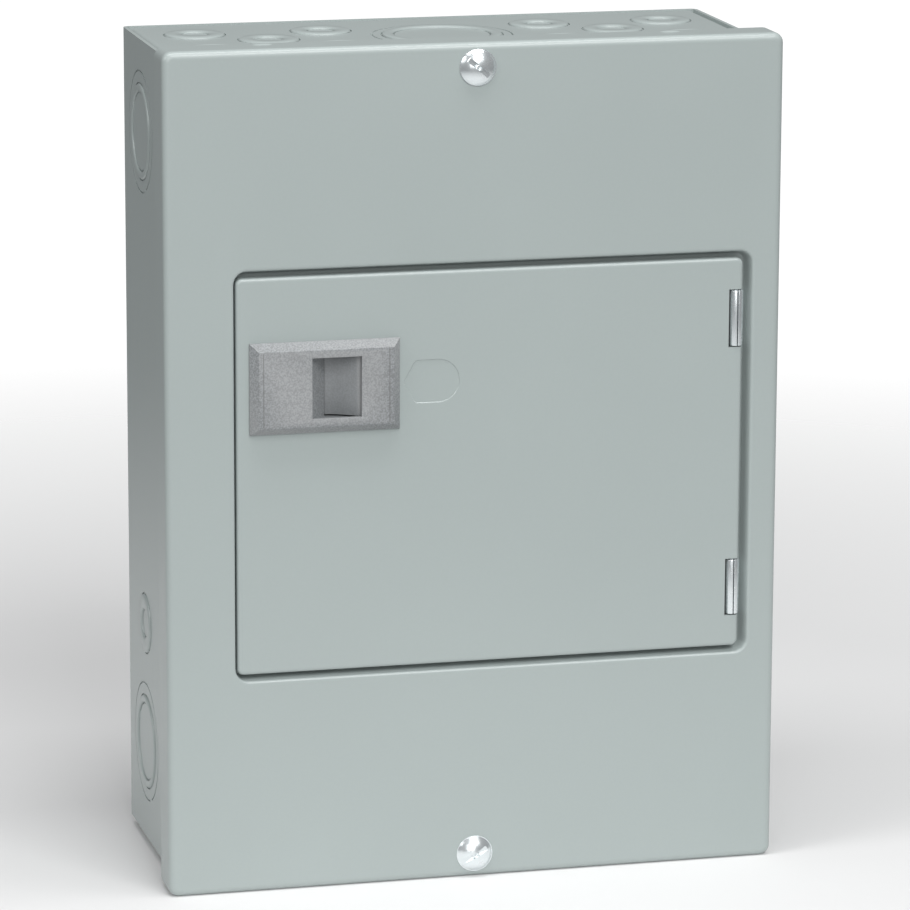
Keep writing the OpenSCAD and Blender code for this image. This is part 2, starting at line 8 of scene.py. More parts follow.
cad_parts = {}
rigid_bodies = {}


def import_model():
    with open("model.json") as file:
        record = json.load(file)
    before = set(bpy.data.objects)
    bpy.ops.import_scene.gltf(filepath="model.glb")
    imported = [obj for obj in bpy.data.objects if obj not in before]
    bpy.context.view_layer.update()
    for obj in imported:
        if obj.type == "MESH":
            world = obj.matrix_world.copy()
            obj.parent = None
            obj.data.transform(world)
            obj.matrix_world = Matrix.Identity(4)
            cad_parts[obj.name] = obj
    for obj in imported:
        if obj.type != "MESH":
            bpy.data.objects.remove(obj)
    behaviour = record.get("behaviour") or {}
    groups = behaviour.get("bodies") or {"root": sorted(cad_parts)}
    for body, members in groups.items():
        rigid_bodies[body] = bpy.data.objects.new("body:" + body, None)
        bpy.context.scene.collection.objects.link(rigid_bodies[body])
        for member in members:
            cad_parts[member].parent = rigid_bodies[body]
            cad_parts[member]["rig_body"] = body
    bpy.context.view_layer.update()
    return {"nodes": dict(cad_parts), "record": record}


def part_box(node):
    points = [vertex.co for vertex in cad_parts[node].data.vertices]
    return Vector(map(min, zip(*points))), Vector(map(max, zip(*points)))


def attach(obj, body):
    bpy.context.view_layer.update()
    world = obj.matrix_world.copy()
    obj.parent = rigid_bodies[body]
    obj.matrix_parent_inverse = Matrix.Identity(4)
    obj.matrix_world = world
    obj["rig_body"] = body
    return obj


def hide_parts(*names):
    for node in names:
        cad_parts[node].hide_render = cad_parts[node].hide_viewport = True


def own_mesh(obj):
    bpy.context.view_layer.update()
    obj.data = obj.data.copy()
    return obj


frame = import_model()

MM = 0.001
SHARP = radians(34)


# ---------------------------------------------------------------- finishes

class Wave:
    """A shader value with Python's arithmetic: each operator adds one Math node."""

    def __init__(self, finish, socket):
        self.finish = finish
        self.socket = socket

    def math(self, operation, first, second):
        return self.finish.make("Math", {"operation": operation}, {0: first, 1: second})

    def __add__(self, other): return self.math("ADD", self, other)
    def __radd__(self, other): return self.math("ADD", other, self)
    def __sub__(self, other): return self.math("SUBTRACT", self, other)
    def __rsub__(self, other): return self.math("SUBTRACT", other, self)
    def __mul__(self, other): return self.math("MULTIPLY", self, other)
    def __rmul__(self, other): return self.math("MULTIPLY", other, self)
    def __lt__(self, other): return self.math("LESS_THAN", self, other)


class Finish:
    """One procedural material on a Principled shader, read in metres of the object's own frame."""

    def __init__(self, name, metallic=0.0, coat=0.0, coat_roughness=0.2, ior=1.5):
        self.material = bpy.data.materials.new(name)
        self.material.use_nodes = True
        self.tree = self.material.node_tree
        self.shader = self.tree.nodes["Principled BSDF"]
        self.shader.inputs["Metallic"].default_value = metallic
        self.shader.inputs["Coat Weight"].default_value = coat
        self.shader.inputs["Coat Roughness"].default_value = coat_roughness
        self.shader.inputs["IOR"].default_value = ior
        self.place = self.make("TexCoord", {}, {}, "Object")

    def make(self, kind, settings, values, output=0):
        """Adds a node, sets it up, fills its inputs with numbers or links, and gives an output."""
        node = self.tree.nodes.new("ShaderNode" + kind)
        for key, value in settings.items():
            setattr(node, key, value)
        for key, value in values.items():
            if isinstance(value, Wave):
                self.tree.links.new(value.socket, node.inputs[key])
            else:
                node.inputs[key].default_value = value
        return Wave(self, node.outputs[output])

    def put(self, socket, wave):
        self.tree.links.new(wave.socket, self.shader.inputs[socket])

    def stretched(self, scale):
        """The piece's own position, stretched along each axis."""
        return self.make("Mapping", {}, {"Vector": self.place, "Scale": scale})

    def noise(self, scale, detail=2.0, roughness=0.5, vector=None):
        return self.make("TexNoise", {}, {"Vector": vector or self.place, "Scale": scale,
                                          "Detail": detail, "Roughness": roughness})

    def cells(self, scale, vector):
        """A random colour for each cell."""
        return self.make("TexVoronoi", {}, {"Vector": vector, "Scale": scale}, "Color")

    def fade(self, wave, low, high, start=0.0, end=1.0):
        """Turns low..high of a value into start..end, held at both ends."""
        return self.make("MapRange", {}, {"Value": wave, "From Min": low, "From Max": high,
                                          "To Min": start, "To Max": end})

    def axis(self, name):
        return self.make("SeparateXYZ", {}, {"Vector": self.place}, name)

    def blend(self, amount, first, second):
        """A colour between two, each a colour or a link."""
        return self.make("Mix", {"data_type": "RGBA"}, {0: amount, 6: first, 7: second}, 2)

    def relief(self, height, strength, distance):
        return self.make("Bump", {}, {"Height": height, "Strength": strength, "Distance": distance})

    def edges(self, low, high):
        """1 on convex edges, 0 on flats."""
        return self.fade(self.make("NewGeometry", {}, {}, "Pointiness"), low, high)


def shade(level, tint=(1.0, 1.0, 1.0)):
    """A grey of the given level, tinted."""
    return (level * tint[0], level * tint[1], level * tint[2], 1.0)


def baked_enamel():
    """Grey-green enamel over sheet steel: satin, with a fine orange peel and faint handling marks."""
    paint = Finish("baked_enamel", coat=0.35, coat_roughness=0.16, ior=1.46)
    green_grey = (0.93, 1.05, 1.03)
    clouds = paint.noise(14.0, 3.0)
    specks = paint.noise(900.0, 1.0)
    rubs = paint.fade(paint.noise(38.0, 5.0, 0.62, paint.stretched((1.0, 1.0, 0.35))), 0.6, 0.78)
    colour = paint.blend(clouds, shade(0.392, green_grey), shade(0.416, green_grey))
    colour = paint.blend(specks * 0.16, colour, shade(0.33, green_grey))
    colour = paint.blend(rubs * 0.05, colour, shade(0.5, green_grey))
    paint.put("Base Color", colour)
    paint.put("Roughness", 0.36 + clouds * 0.07 + rubs * 0.06)
    peel = paint.noise(420.0, 2.0, 0.4) + paint.noise(1500.0, 1.0) * 0.25
    paint.put("Normal", paint.relief(peel, 0.22, 0.00006))
    return paint.material


def bright_zinc():
    """Bright zinc plate: a cold grey mirror broken by cloudy patches and fine scratches."""
    plate = Finish("bright_zinc", metallic=0.82)
    patches = plate.noise(260.0, 3.0)
    scratches = plate.noise(900.0, 2.0, 0.6, plate.stretched((1.0, 0.4, 6.0)))
    colour = plate.blend(patches, (0.76, 0.82, 0.84, 1.0), (0.87, 0.90, 0.91, 1.0))
    plate.put("Base Color", plate.blend(plate.fade(scratches, 0.62, 0.7) * 0.25, colour, shade(0.6)))
    plate.put("Roughness", 0.21 + patches * 0.1)
    plate.put("Normal", plate.relief(scratches + patches * 0.5, 0.04, 0.00003))
    return plate.material


def moulded_grey(painted_groove_shade=None):
    """Mid grey moulding with a spark texture: light and dark specks over fine pits, and, when given a line,
    that line painted dark as the shade of a moulded groove.
    """
    plastic = Finish("moulded_grey" if painted_groove_shade is None else "moulded_grey_plate", ior=1.47)
    grain = plastic.fade(plastic.noise(1700.0, 1.0, 0.5), 0.34, 0.66)
    mottle = plastic.noise(420.0, 3.0, 0.6)
    cool = (0.98, 1.03, 1.06)
    depth = 0.018 if painted_groove_shade is None else 0.055
    colour = plastic.blend(grain, shade(0.252 - depth, cool), shade(0.252 + depth, cool))
    colour = plastic.blend(plastic.fade(mottle, 0.35, 0.65) * 0.14, colour, shade(0.2))
    colour = plastic.blend(plastic.edges(0.54, 0.64) * 0.25, colour, shade(0.46))
    height = plastic.noise(1700.0, 2.0, 0.7)
    if painted_groove_shade:
        # painted shade: the moulded groove inside the latch plate's bevels is drawn as a dark line in the
        # colour
        colour = plastic.blend(painted_groove_shade(plastic) * 0.6, colour, shade(0.13))
    plastic.put("Base Color", colour)
    plastic.put("Roughness", 0.42 + grain * 0.16)
    plastic.put("Normal", plastic.relief(height, 0.1 if painted_groove_shade is None else 0.35, 0.00008))
    return plastic.material


def galvanised():
    """Hot-dip galvanised sheet with its spangle."""
    sheet = Finish("galvanised_spangle", metallic=1.0)
    spangle = sheet.cells(120.0, sheet.stretched((1.0, 1.0, 0.7)))
    tone = sheet.make("SeparateColor", {}, {"Color": spangle}, "Red")
    sheet.put("Base Color", sheet.blend(tone, (0.50, 0.53, 0.56, 1.0), (0.74, 0.76, 0.78, 1.0)))
    sheet.put("Roughness", 0.32 + tone * 0.2)
    sheet.put("Normal", sheet.relief(tone + sheet.noise(900.0) * 0.4, 0.12, 0.00005))
    return sheet.material


def black_moulding(name, level, roughness, grain_scale, wear):
    """A black moulding with a fine grain, greyer where its edges are handled."""
    plastic = Finish(name, ior=1.5)
    grain = plastic.noise(grain_scale, 2.0, 0.6)
    haze = plastic.noise(70.0, 3.0)
    colour = plastic.blend(haze, shade(level), shade(level * 1.5))
    colour = plastic.blend(plastic.edges(0.53, 0.62) * wear, colour, shade(0.16))
    plastic.put("Base Color", colour)
    plastic.put("Roughness", roughness + grain * 0.15 + haze * 0.08)
    plastic.put("Normal", plastic.relief(grain, 0.3, 0.00006))
    return plastic.material


def worked_metal(name, dark, light, roughness, lines, line_scale):
    """Bare metal with drawn or sawn lines and a little tarnish."""
    metal = Finish(name, metallic=1.0)
    drawn = metal.noise(line_scale, 2.0, 0.6, metal.stretched(lines))
    tarnish = metal.fade(metal.noise(90.0, 4.0, 0.6), 0.4, 0.75)
    colour = metal.blend(drawn, dark, light)
    metal.put("Base Color", metal.blend(tarnish * 0.3, colour, shade(0.42, (1.0, 0.97, 0.92))))
    metal.put("Roughness", roughness + drawn * 0.14 + tarnish * 0.12)
    metal.put("Normal", metal.relief(drawn, 0.18, 0.00005))
    return metal.material


def green_plate():
    """Green dyed plating, worn to metal on its edges."""
    plate = Finish("green_dyed_plate", metallic=0.55)
    cloud = plate.noise(400.0, 3.0)
    colour = plate.blend(cloud, (0.03, 0.22, 0.08, 1.0), (0.06, 0.34, 0.13, 1.0))
    plate.put("Base Color", plate.blend(plate.edges(0.55, 0.66) * 0.6, colour, (0.5, 0.55, 0.5, 1.0)))
    plate.put("Roughness", 0.3 + cloud * 0.15)
    plate.put("Normal", plate.relief(cloud, 0.12, 0.00005))
    return plate.material


def ruled_card():
    """White index card with pale blue ruling for the circuit list, in two columns."""
    card = Finish("ruled_card", ior=1.45)
    fibre = card.noise(1600.0, 3.0, 0.6, card.stretched((1.0, 1.0, 0.5)))
    line_pitch, card_left, half_width = 0.0085, -0.018, 0.05
    ruling = card.make("Math", {"operation": "FRACT"}, {0: card.axis("Z") * (1 / line_pitch) + 20.0})
    column = card.make("Math", {"operation": "PINGPONG"}, {0: card.axis("X") - card_left, 1: half_width})
    line = card.make("Math", {"operation": "MAXIMUM"},
                     {0: card.fade(ruling, 0.045, 0.06, 1.0, 0.0),
                      1: card.fade(column, 0.0494, 0.0496)})
    paper = card.blend(fibre, shade(0.70, (1.0, 0.99, 0.95)), shade(0.82, (1.0, 0.99, 0.96)))
    card.put("Base Color", card.blend(line * 0.75, paper, (0.25, 0.36, 0.5, 1.0)))
    card.put("Roughness", 0.72 + fibre * 0.18)
    card.put("Normal", card.relief(fibre, 0.25, 0.00005))
    return card.material


# ---------------------------------------------------------------- shaping

def outline(bm, points, y, rounds, steps=6):
    """A loop of edges at depth y through the points, its corners rounded. Sizes are millimetres."""
    corners = [bm.verts.new((x, y, z)) for x, z in points]
    face = bm.faces.new(corners)
    sizes = rounds if isinstance(rounds, (list, tuple)) else [rounds] * len(corners)
    loose = set(bm.verts) - set(corners)
    for corner, size in zip(corners, sizes):
        if size:
            bmesh.ops.bevel(bm, geom=[corner], offset=size, segments=steps, profile=0.5,
                            affect="VERTICES", material=-1)
    face = next(f for f in bm.faces if not any(v in loose for v in f.verts)
                and set(f.verts) == set(bm.verts) - loose)
    edges = list(face.edges)
    bmesh.ops.delete(bm, geom=[face], context="FACES_ONLY")
    return edges


def corners_of(box, grow=0.0):
    left, right, bottom, top = box
    return [(left - grow, bottom - grow), (right + grow, bottom - grow),
            (right + grow, top + grow), (left - grow, top + grow)]


def ring(bm, box, y, r, grow=0.0, steps=6):
    """A rounded rectangle of edges: box is (left, right, bottom, top)."""
    return outline(bm, corners_of(box, grow), y, max(r + grow, 0.2), steps)


def circle(bm, x, y, z, r, segments=32):
    """A circle of edges facing the room."""
    place = Matrix.Translation((x, y, z)) @ Matrix.Rotation(pi / 2, 4, "X")
    verts = bmesh.ops.create_circle(bm, cap_ends=False, radius=r, segments=segments, matrix=place)["verts"]
    return list({edge for v in verts for edge in v.link_edges})


def loft(bm, rings):
    """Skins the rings one to the next, each a hair deeper than the last so that none lie in one plane."""
    hair = 0.004
    for step, edges in enumerate(rings):
        verts = list({v for edge in edges for v in edge.verts})
        bmesh.ops.translate(bm, vec=(0, step * hair, 0), verts=verts)
    for near, far in zip(rings, rings[1:]):
        bmesh.ops.bridge_loops(bm, edges=near + far)


def fill(bm, *loops):
    """A flat face between an outer loop and the loops inside it, in as few pieces as it takes."""
    made = bmesh.ops.triangle_fill(bm, use_beauty=True, use_dissolve=False,
                                   edges=[edge for loop in loops for edge in loop], normal=(0, -1, 0))
    inner = [g for g in made["geom"] if isinstance(g, bmesh.types.BMEdge) and len(g.link_faces) == 2]
    bmesh.ops.dissolve_limit(bm, angle_limit=radians(1), edges=inner)


def cut_at(bm, point, normal):
    """Scores the whole shape along a plane."""
    bmesh.ops.bisect_plane(bm, geom=bm.verts[:] + bm.edges[:] + bm.faces[:], dist=1e-5,
                           plane_co=point, plane_no=normal)


def face_the_room(bm):
    """Turns a sheet's skin so that its widest face looks at the room."""
    bmesh.ops.remove_doubles(bm, verts=bm.verts[:], dist=0.002)
    bmesh.ops.recalc_face_normals(bm, faces=bm.faces[:])
    widest = max(bm.faces, key=lambda f: f.calc_area() * abs(f.normal.y))
    if widest.normal.y > 0:
        bmesh.ops.reverse_faces(bm, faces=bm.faces[:])


def soften(bm, width, least_turn, segments=2):
    """Rounds every edge that turns by more than the given angle, in degrees."""
    sharp = [e for e in bm.edges if len(e.link_faces) == 2 and e.calc_face_angle() > radians(least_turn)]
    bmesh.ops.bevel(bm, geom=sharp, offset=width, segments=segments, profile=0.5, affect="EDGES",
                    clamp_overlap=True, material=-1)


def finish_piece(name, bm, body, material, replaced, closed=True):
    """Makes the shape a named piece that rides on a body, shaded smooth up to its corners."""
    bmesh.ops.remove_doubles(bm, verts=bm.verts[:], dist=0.0005)
    if closed:
        bmesh.ops.recalc_face_normals(bm, faces=bm.faces[:])
    for edge in bm.edges:
        edge.smooth = len(edge.link_faces) == 2 and edge.calc_face_angle() < SHARP
    for face in bm.faces:
        face.smooth = True
    bmesh.ops.scale(bm, vec=(MM, MM, MM), verts=bm.verts[:])
    mesh = bpy.data.meshes.new(name)
    bm.to_mesh(mesh)
    bm.free()
    mesh.materials.append(material)
    piece = bpy.data.objects.new(name, mesh)
    bpy.context.scene.collection.objects.link(piece)
    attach(piece, body)
    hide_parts(*replaced)
    return piece


def sheet_metal(piece, thickness):
    """Gives a skin its sheet's thickness, behind the skin, with square cut edges."""
    sheet = piece.modifiers.new("sheet", "SOLIDIFY")
    sheet.thickness = thickness * MM
    sheet.offset = -1.0
    sheet.use_even_offset = True
    sheet.use_quality_normals = True
    rims = piece.modifiers.new("cut_edges", "EDGE_SPLIT")
    rims.split_angle = SHARP
    rims.use_edge_sharp = False


def box_mm(node):
    """A CAD node's lowest and highest corners, in millimetres."""
    low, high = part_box(node)
    return low / MM, high / MM


# ---------------------------------------------------------------- sizes, in millimetres

cover_low, cover_high = box_mm("cover")
door_low, door_high = box_mm("door")
plate_low, plate_high = box_mm("latch_plate")
strap_low, strap_high = box_mm("upper_hinge_strap")
pin_low, pin_high = box_mm("upper_hinge_pin")

FACE_Y = cover_low.y
COVER_T = 1.2
LIP = 15.0
COVER = (cover_low.x, cover_high.x, cover_low.z, -cover_low.z)
DOOR = (door_low.x, door_high.x, door_low.z, door_high.z)
DOOR_Y = door_low.y
DOOR_FLANGE = 3.65
RECESS_D = 5.8
RECESS_FRONT = (DOOR[0] - 0.7, DOOR[1] + 3.5, DOOR[2] - 2.6, DOOR[3] + 2.7)
RECESS_FLOOR = (DOOR[0] - 0.6, DOOR[1] + 1.8, DOOR[2] - 1.1, DOOR[3] + 1.1)
PAN = (DOOR[0] + 6.5, DOOR[1] - 6.8, DOOR[2] + 6.5, DOOR[3] - 6.5)
PAN_Y = FACE_Y + 17.5
POLE_X = 28
WINDOW_HALF_X = 21
WINDOW_HALF_Z = 38.4
SCREW_Z = COVER[3] - 8.8
HINGE_X = (pin_low.x + pin_high.x) / 2
HINGE_Y = (pin_low.y + pin_high.y) / 2
HINGE_Z = (strap_low.z + strap_high.z) / 2
BARREL_R = 2.65
BARREL_HALF = (strap_high.z - strap_low.z) / 2
NOTCH_HALF = BARREL_HALF + 0.45
LATCH_X = DOOR[0] + 4.7
LATCH_Y = plate_low.y
LATCH_Z = (plate_low.z + plate_high.z) / 2
LATCH_W = 54.5
LATCH_H = 33.0
BEND_ARC = [radians(a) for a in (0, 18, 36, 54, 72, 90)]


# ---------------------------------------------------------------- cover

def between(near, far, share):
    return tuple(a + (b - a) * share for a, b in zip(near, far))


def cover_skin(bm):
    """The front of the pressed cover, from the back of its lip to the floor of the breaker pan."""
    corner, bend = 3.7, 2.3
    rings = [ring(bm, COVER, FACE_Y + LIP, corner), ring(bm, COVER, FACE_Y + bend + 0.5, corner)]
    rings += [ring(bm, COVER, FACE_Y + bend * (1 - sin(a)), corner, -bend * (1 - cos(a)))
              for a in BEND_ARC]
    rings.append(ring(bm, COVER, FACE_Y, corner, -bend - 0.5))
    face_edge = rings[-1]
    loft(bm, rings[::-1])

    rim, toe, wall_start = 0.8, 0.5, 3.6
    front_r, floor_r, pan_r = 5.0, 3.0, 4.0
    slopes = [radians(a) for a in (0, 15, 30, 45, 60, 75)]
    pan_bend = [radians(a) for a in (0, 30, 60, 90)]
    steps = [(rim * (1 - cos(a)), rim * (1 - sin(a))) for a in slopes]
    steps.append((wall_start, 0.0))
    steps += [(RECESS_D - toe * (1 - cos(a)), -toe * (1 - sin(a))) for a in reversed(slopes)]
    recess = [ring(bm, RECESS_FRONT, FACE_Y, front_r, rim + 0.5)]
    for depth, grow in steps:
        share = depth / RECESS_D
        corner = front_r + (floor_r - front_r) * share
        recess.append(ring(bm, between(RECESS_FRONT, RECESS_FLOOR, share), FACE_Y + depth, corner, grow))
    hair = 0.01
    ledge_y = FACE_Y + RECESS_D + hair
    recess.append(ring(bm, RECESS_FLOOR, ledge_y, floor_r, -toe - 0.4))
    recess.append(ring(bm, PAN, ledge_y, pan_r, rim + 0.4))
    recess += [ring(bm, PAN, ledge_y + rim * (1 - cos(a)), pan_r, rim * (1 - sin(a))) for a in pan_bend]
    recess += [ring(bm, PAN, PAN_Y - rim * (1 - sin(a)), pan_r, -rim * (1 - cos(a))) for a in pan_bend]
    recess.append(ring(bm, PAN, PAN_Y, pan_r, -rim - 0.5))
    loft(bm, recess)

    screw_hole_r = 2.6
    holes = [circle(bm, 0, FACE_Y, side * SCREW_Z, screw_hole_r) for side in (-1, 1)]
    fill(bm, face_edge, recess[0], *holes)
    windows = [ring(bm, (side * POLE_X - WINDOW_HALF_X, side * POLE_X + WINDOW_HALF_X,
                         -WINDOW_HALF_Z, WINDOW_HALF_Z), PAN_Y, 1.0) for side in (-1, 1)]
    fill(bm, recess[-1], *windows)


def lip_dart(bm, x):
    """A short stiffening dart pressed across the cover's top bend."""
    made = bmesh.ops.create_uvsphere(bm, u_segments=20, v_segments=12, radius=1.0)["verts"]
    bmesh.ops.scale(bm, vec=(5.0, 2.8, 1.28), verts=made)
    bmesh.ops.translate(bm, vec=(x, FACE_Y + LIP - 3.0, COVER[3] - 0.8), verts=made)


def make_cover(enamel):
    bm = bmesh.new()
    cover_skin(bm)
    strike_half = 8.5
    for side in (-1, 1):
        cut_at(bm, (0, 0, LATCH_Z + side * strike_half), (0, 0, 1))
    slot = []
    for face in bm.faces:
        middle = face.calc_center_median()
        if (middle.x < DOOR[0] - 0.3 and abs(middle.z - LATCH_Z) < strike_half
                and 3.6 < middle.y - FACE_Y < RECESS_D - 0.3):
            slot.append(face)
    bmesh.ops.delete(bm, geom=slot, context="FACES")
    face_the_room(bm)
    cover = finish_piece("pressed_cover", bm, "enclosure", enamel, ["cover"], closed=False)
    sheet_metal(cover, COVER_T)
    darts = bmesh.new()
    for x in (-75.0, 74.0):
        lip_dart(darts, x)
    finish_piece("cover_lip_darts", darts, "enclosure", enamel, [])


def turned(bm, profile, steps):
    """Spins a profile of (radius, height) pairs round the axis that faces the room."""
    points = [bm.verts.new((r, -height, 0)) for r, height in profile]
    spine = [bm.edges.new(pair) for pair in zip(points, points[1:])]
    bmesh.ops.spin(bm, geom=points + spine, cent=(0, 0, 0), axis=(0, 1, 0), dvec=(0, 0, 0),
                   angle=2 * pi, steps=steps, use_merge=True, use_duplicate=False)


def screw_head(bm):
    """A truss head at the origin, with a slot across a punched centre."""
    head_r, dome_r, top = 6.7, 9.0, 3.0
    slot_half, slot_y = 0.9, -1.6
    edge = [(head_r * 0.985, 0.0), (head_r, 0.25)]
    dome = [(dome_r * sin(radians(a)), dome_r * cos(radians(a)) - dome_r + top) for a in range(46, -1, -4)]
    turned(bm, edge + dome + [(0, top)], 48)
    bmesh.ops.remove_doubles(bm, verts=bm.verts[:], dist=0.001)
    for point, normal in (((0, 0, slot_half), (0, 0, 1)), ((0, 0, -slot_half), (0, 0, 1)),
                          ((0, slot_y, 0), (0, 1, 0))):
        bmesh.ops.bisect_plane(bm, geom=bm.verts[:] + bm.edges[:] + bm.faces[:], dist=1e-4,
                               plane_co=point, plane_no=normal)
    floor = [f for f in bm.faces if abs(f.calc_center_median().z) < slot_half
             and f.calc_center_median().y < slot_y]
    pressed = bmesh.ops.extrude_face_region(bm, geom=floor)["geom"]
    bmesh.ops.delete(bm, geom=floor, context="FACES")
    for vert in (g for g in pressed if isinstance(g, bmesh.types.BMVert)):
        vert.co.y = slot_y
    turned(bm, [(1.35, 1.8), (1.3, 2.65), (1.1, 2.85), (0.7, 2.85), (0.55, 2.6), (0.0, 2.3)], 24)


def make_cover_screws(zinc):
    """The two cover screws, each left at its own angle."""
    both = bmesh.new()
    shank_r, shank_len = 2.1, 9.0
    along = Matrix.Translation((0, 4.4, 0)) @ Matrix.Rotation(pi / 2, 4, "X")
    for side, turn in ((1, 40), (-1, -28)):
        one = bmesh.new()
        screw_head(one)
        bmesh.ops.rotate(one, cent=(0, 0, 0), matrix=Matrix.Rotation(radians(turn), 3, "Y"), verts=one.verts[:])
        bmesh.ops.create_cone(one, cap_ends=True, segments=24, radius1=shank_r, radius2=shank_r,
                              depth=shank_len, matrix=along)
        bmesh.ops.translate(one, vec=(0, FACE_Y - 0.02, side * SCREW_Z), verts=one.verts[:])
        screw = bpy.data.meshes.new("screw")
        one.to_mesh(screw)
        one.free()
        both.from_mesh(screw)
        bpy.data.meshes.remove(screw)
    finish_piece("truss_head_screws", both, "enclosure", zinc, ["cover_screws"])


# ---------------------------------------------------------------- door and hinges

def make_door(enamel):
    """The flanged door, notched for its hinges, with the pressed blank for a lock."""
    bm = bmesh.new()
    corner, bend = 2.4, 1.2
    rings = [ring(bm, DOOR, DOOR_Y + DOOR_FLANGE, corner), ring(bm, DOOR, DOOR_Y + bend + 0.3, corner)]
    rings += [ring(bm, DOOR, DOOR_Y + bend * (1 - sin(a)), corner, -bend * (1 - cos(a)))
              for a in BEND_ARC]
    rings.append(ring(bm, DOOR, DOOR_Y, corner, -bend - 0.4))
    loft(bm, rings[::-1])
    behind_latch = ring(bm, (LATCH_X + 3.3, LATCH_X + 51.2, LATCH_Z - 13.2, LATCH_Z + 13.2), DOOR_Y, 1.0)
    x = DOOR[0] + 71.0
    blank = outline(bm, [(x - 10.5, LATCH_Z), (x - 6.0, LATCH_Z + 8.0), (x + 10.5, LATCH_Z + 8.0),
                         (x + 10.5, LATCH_Z - 8.0), (x - 6.0, LATCH_Z - 8.0)],
                    DOOR_Y, [0.6, 1.0, 7.9, 7.9, 1.0], 12)
    fill(bm, rings[-1], behind_latch, blank)
    slug = bmesh.ops.contextual_create(bm, geom=blank)["faces"]
    bmesh.ops.recalc_face_normals(bm, faces=bm.faces[:])
    shear_w, shear_d = 0.28, 0.26
    for width, depth in ((0.1, 0.0), (shear_w, shear_d), (0.1, 0.0)):
        sign = -1 if slug[0].normal.y < 0 else 1
        bmesh.ops.inset_region(bm, faces=slug, thickness=width, depth=sign * depth, use_even_offset=True)
    notch_x = HINGE_X - 3.2
    cut_at(bm, (notch_x, 0, 0), (1, 0, 0))
    for side in (-1, 1):
        for edge in (-1, 1):
            cut_at(bm, (0, 0, side * HINGE_Z + edge * NOTCH_HALF), (0, 0, 1))
    notch = [f for f in bm.faces if f.calc_center_median().x > notch_x
             and abs(abs(f.calc_center_median().z) - HINGE_Z) < NOTCH_HALF]
    bmesh.ops.delete(bm, geom=notch, context="FACES")
    face_the_room(bm)
    leaf = finish_piece("door_leaf", bm, "door", enamel, ["door"], closed=False)
    sheet_metal(leaf, COVER_T)
    ears = bmesh.new()
    ear_r, ear_len = 1.85, 4.6
    for side in (-1, 1):
        for end in (-1, 1):
            middle = side * HINGE_Z + end * (NOTCH_HALF + ear_len / 2)
            bmesh.ops.create_cone(ears, cap_ends=True, segments=32, radius1=ear_r, radius2=ear_r, depth=ear_len,
                                  matrix=Matrix.Translation((HINGE_X, HINGE_Y, middle)))
    soften(ears, 0.2, 50)
    finish_piece("door_hinge_ears", ears, "door", enamel, [])


def make_hinge(name, z, zinc, node):
    """A strap whose end is rolled round the pin, with its seam at the front."""
    bm = bmesh.new()
    sheet, gap, foot = 0.9, 5.0, 4.6
    wall = bmesh.ops.create_grid(bm, x_segments=1, y_segments=1, size=0.5,
                                 matrix=Matrix.Translation((HINGE_X, HINGE_Y - BARREL_R + sheet / 2, z))
                                 @ Matrix.Rotation(pi / 2, 4, "Y")
                                 @ Matrix.Diagonal((2 * BARREL_HALF, sheet, 1, 1)))["verts"]
    start = list(bm.faces)
    bmesh.ops.rotate(bm, cent=(HINGE_X, HINGE_Y, z), matrix=Matrix.Rotation(radians(gap), 3, "Z"), verts=wall)
    bmesh.ops.spin(bm, geom=start, cent=(HINGE_X, HINGE_Y, z), axis=(0, 0, 1), dvec=(0, 0, 0),
                   angle=radians(360 - 1.6 * gap), steps=40, use_merge=False, use_duplicate=False)
    bmesh.ops.recalc_face_normals(bm, faces=bm.faces[:])
    soften(bm, 0.22, 50, 3)
    tail_x = HINGE_X + BARREL_R - sheet
    ledge_y = FACE_Y + RECESS_D
    far_corner = (tail_x + sheet, ledge_y, BARREL_HALF)
    for low, high in (((tail_x, HINGE_Y, -BARREL_HALF), far_corner),
                      ((HINGE_X - foot, ledge_y - sheet, -BARREL_HALF), far_corner)):
        size = Vector(high) - Vector(low)
        middle = (Vector(high) + Vector(low)) / 2 + Vector((0, 0, z))
        bmesh.ops.create_cube(bm, size=1.0, matrix=Matrix.Translation(middle) @ Matrix.Diagonal((*size, 1.0)))
    finish_piece(name, bm, "enclosure", zinc, [node], closed=False)


# ---------------------------------------------------------------- latch

def latch_groove_shade_mask(plastic):
    """1 on the fine moulded line just inside the plate's left and right bevels: the mask where that groove's
    shade is painted dark.
    """
    middle, line = (LATCH_X + LATCH_W / 2) * MM, (LATCH_W / 2 - 4.4) * MM
    across = plastic.make("Math", {"operation": "ABSOLUTE"}, {0: plastic.axis("X") - middle})
    off_line = plastic.make("Math", {"operation": "ABSOLUTE"}, {0: across - line})
    height = plastic.make("Math", {"operation": "ABSOLUTE"}, {0: plastic.axis("Z") - LATCH_Z * MM})
    return plastic.fade(off_line, 0.0001, 0.0003, 1.0, 0.0) * (height < (LATCH_H / 2 - 3.2) * MM)


def make_gate_marks(plastic):
    """The moulding's gate stub, and a shallow ring left by an ejector pin, on the latch plate's face."""
    bm = bmesh.new()
    for u, v, ring_r, tube in ((45.2, 1.6, 0.34, 0.26), (14.0, -9.6, 1.3, 0.09)):
        start = set(bm.verts)
        loop = bmesh.ops.create_circle(bm, cap_ends=False, radius=tube, segments=10,
                                       matrix=Matrix.Translation((ring_r, 0, 0)))["verts"]
        edges = list({edge for vert in loop for edge in vert.link_edges})
        bmesh.ops.spin(bm, geom=loop + edges, cent=(0, 0, 0), axis=(0, 1, 0), dvec=(0, 0, 0),
                       angle=2 * pi, steps=20, use_merge=True, use_duplicate=False)
        mine = [vert for vert in bm.verts if vert not in start]
        bmesh.ops.translate(bm, vec=(LATCH_X + u, LATCH_Y + 0.02 + tube, LATCH_Z + v), verts=mine)
        bmesh.ops.scale(bm, vec=(1, 0.6, 1), verts=mine,
                        space=Matrix.Translation((0, -LATCH_Y - 0.05 - tube, 0)))
    finish_piece("latch_plate_gate_marks", bm, "door", plastic, [])


# ---------------------------------------------------------------- knockouts

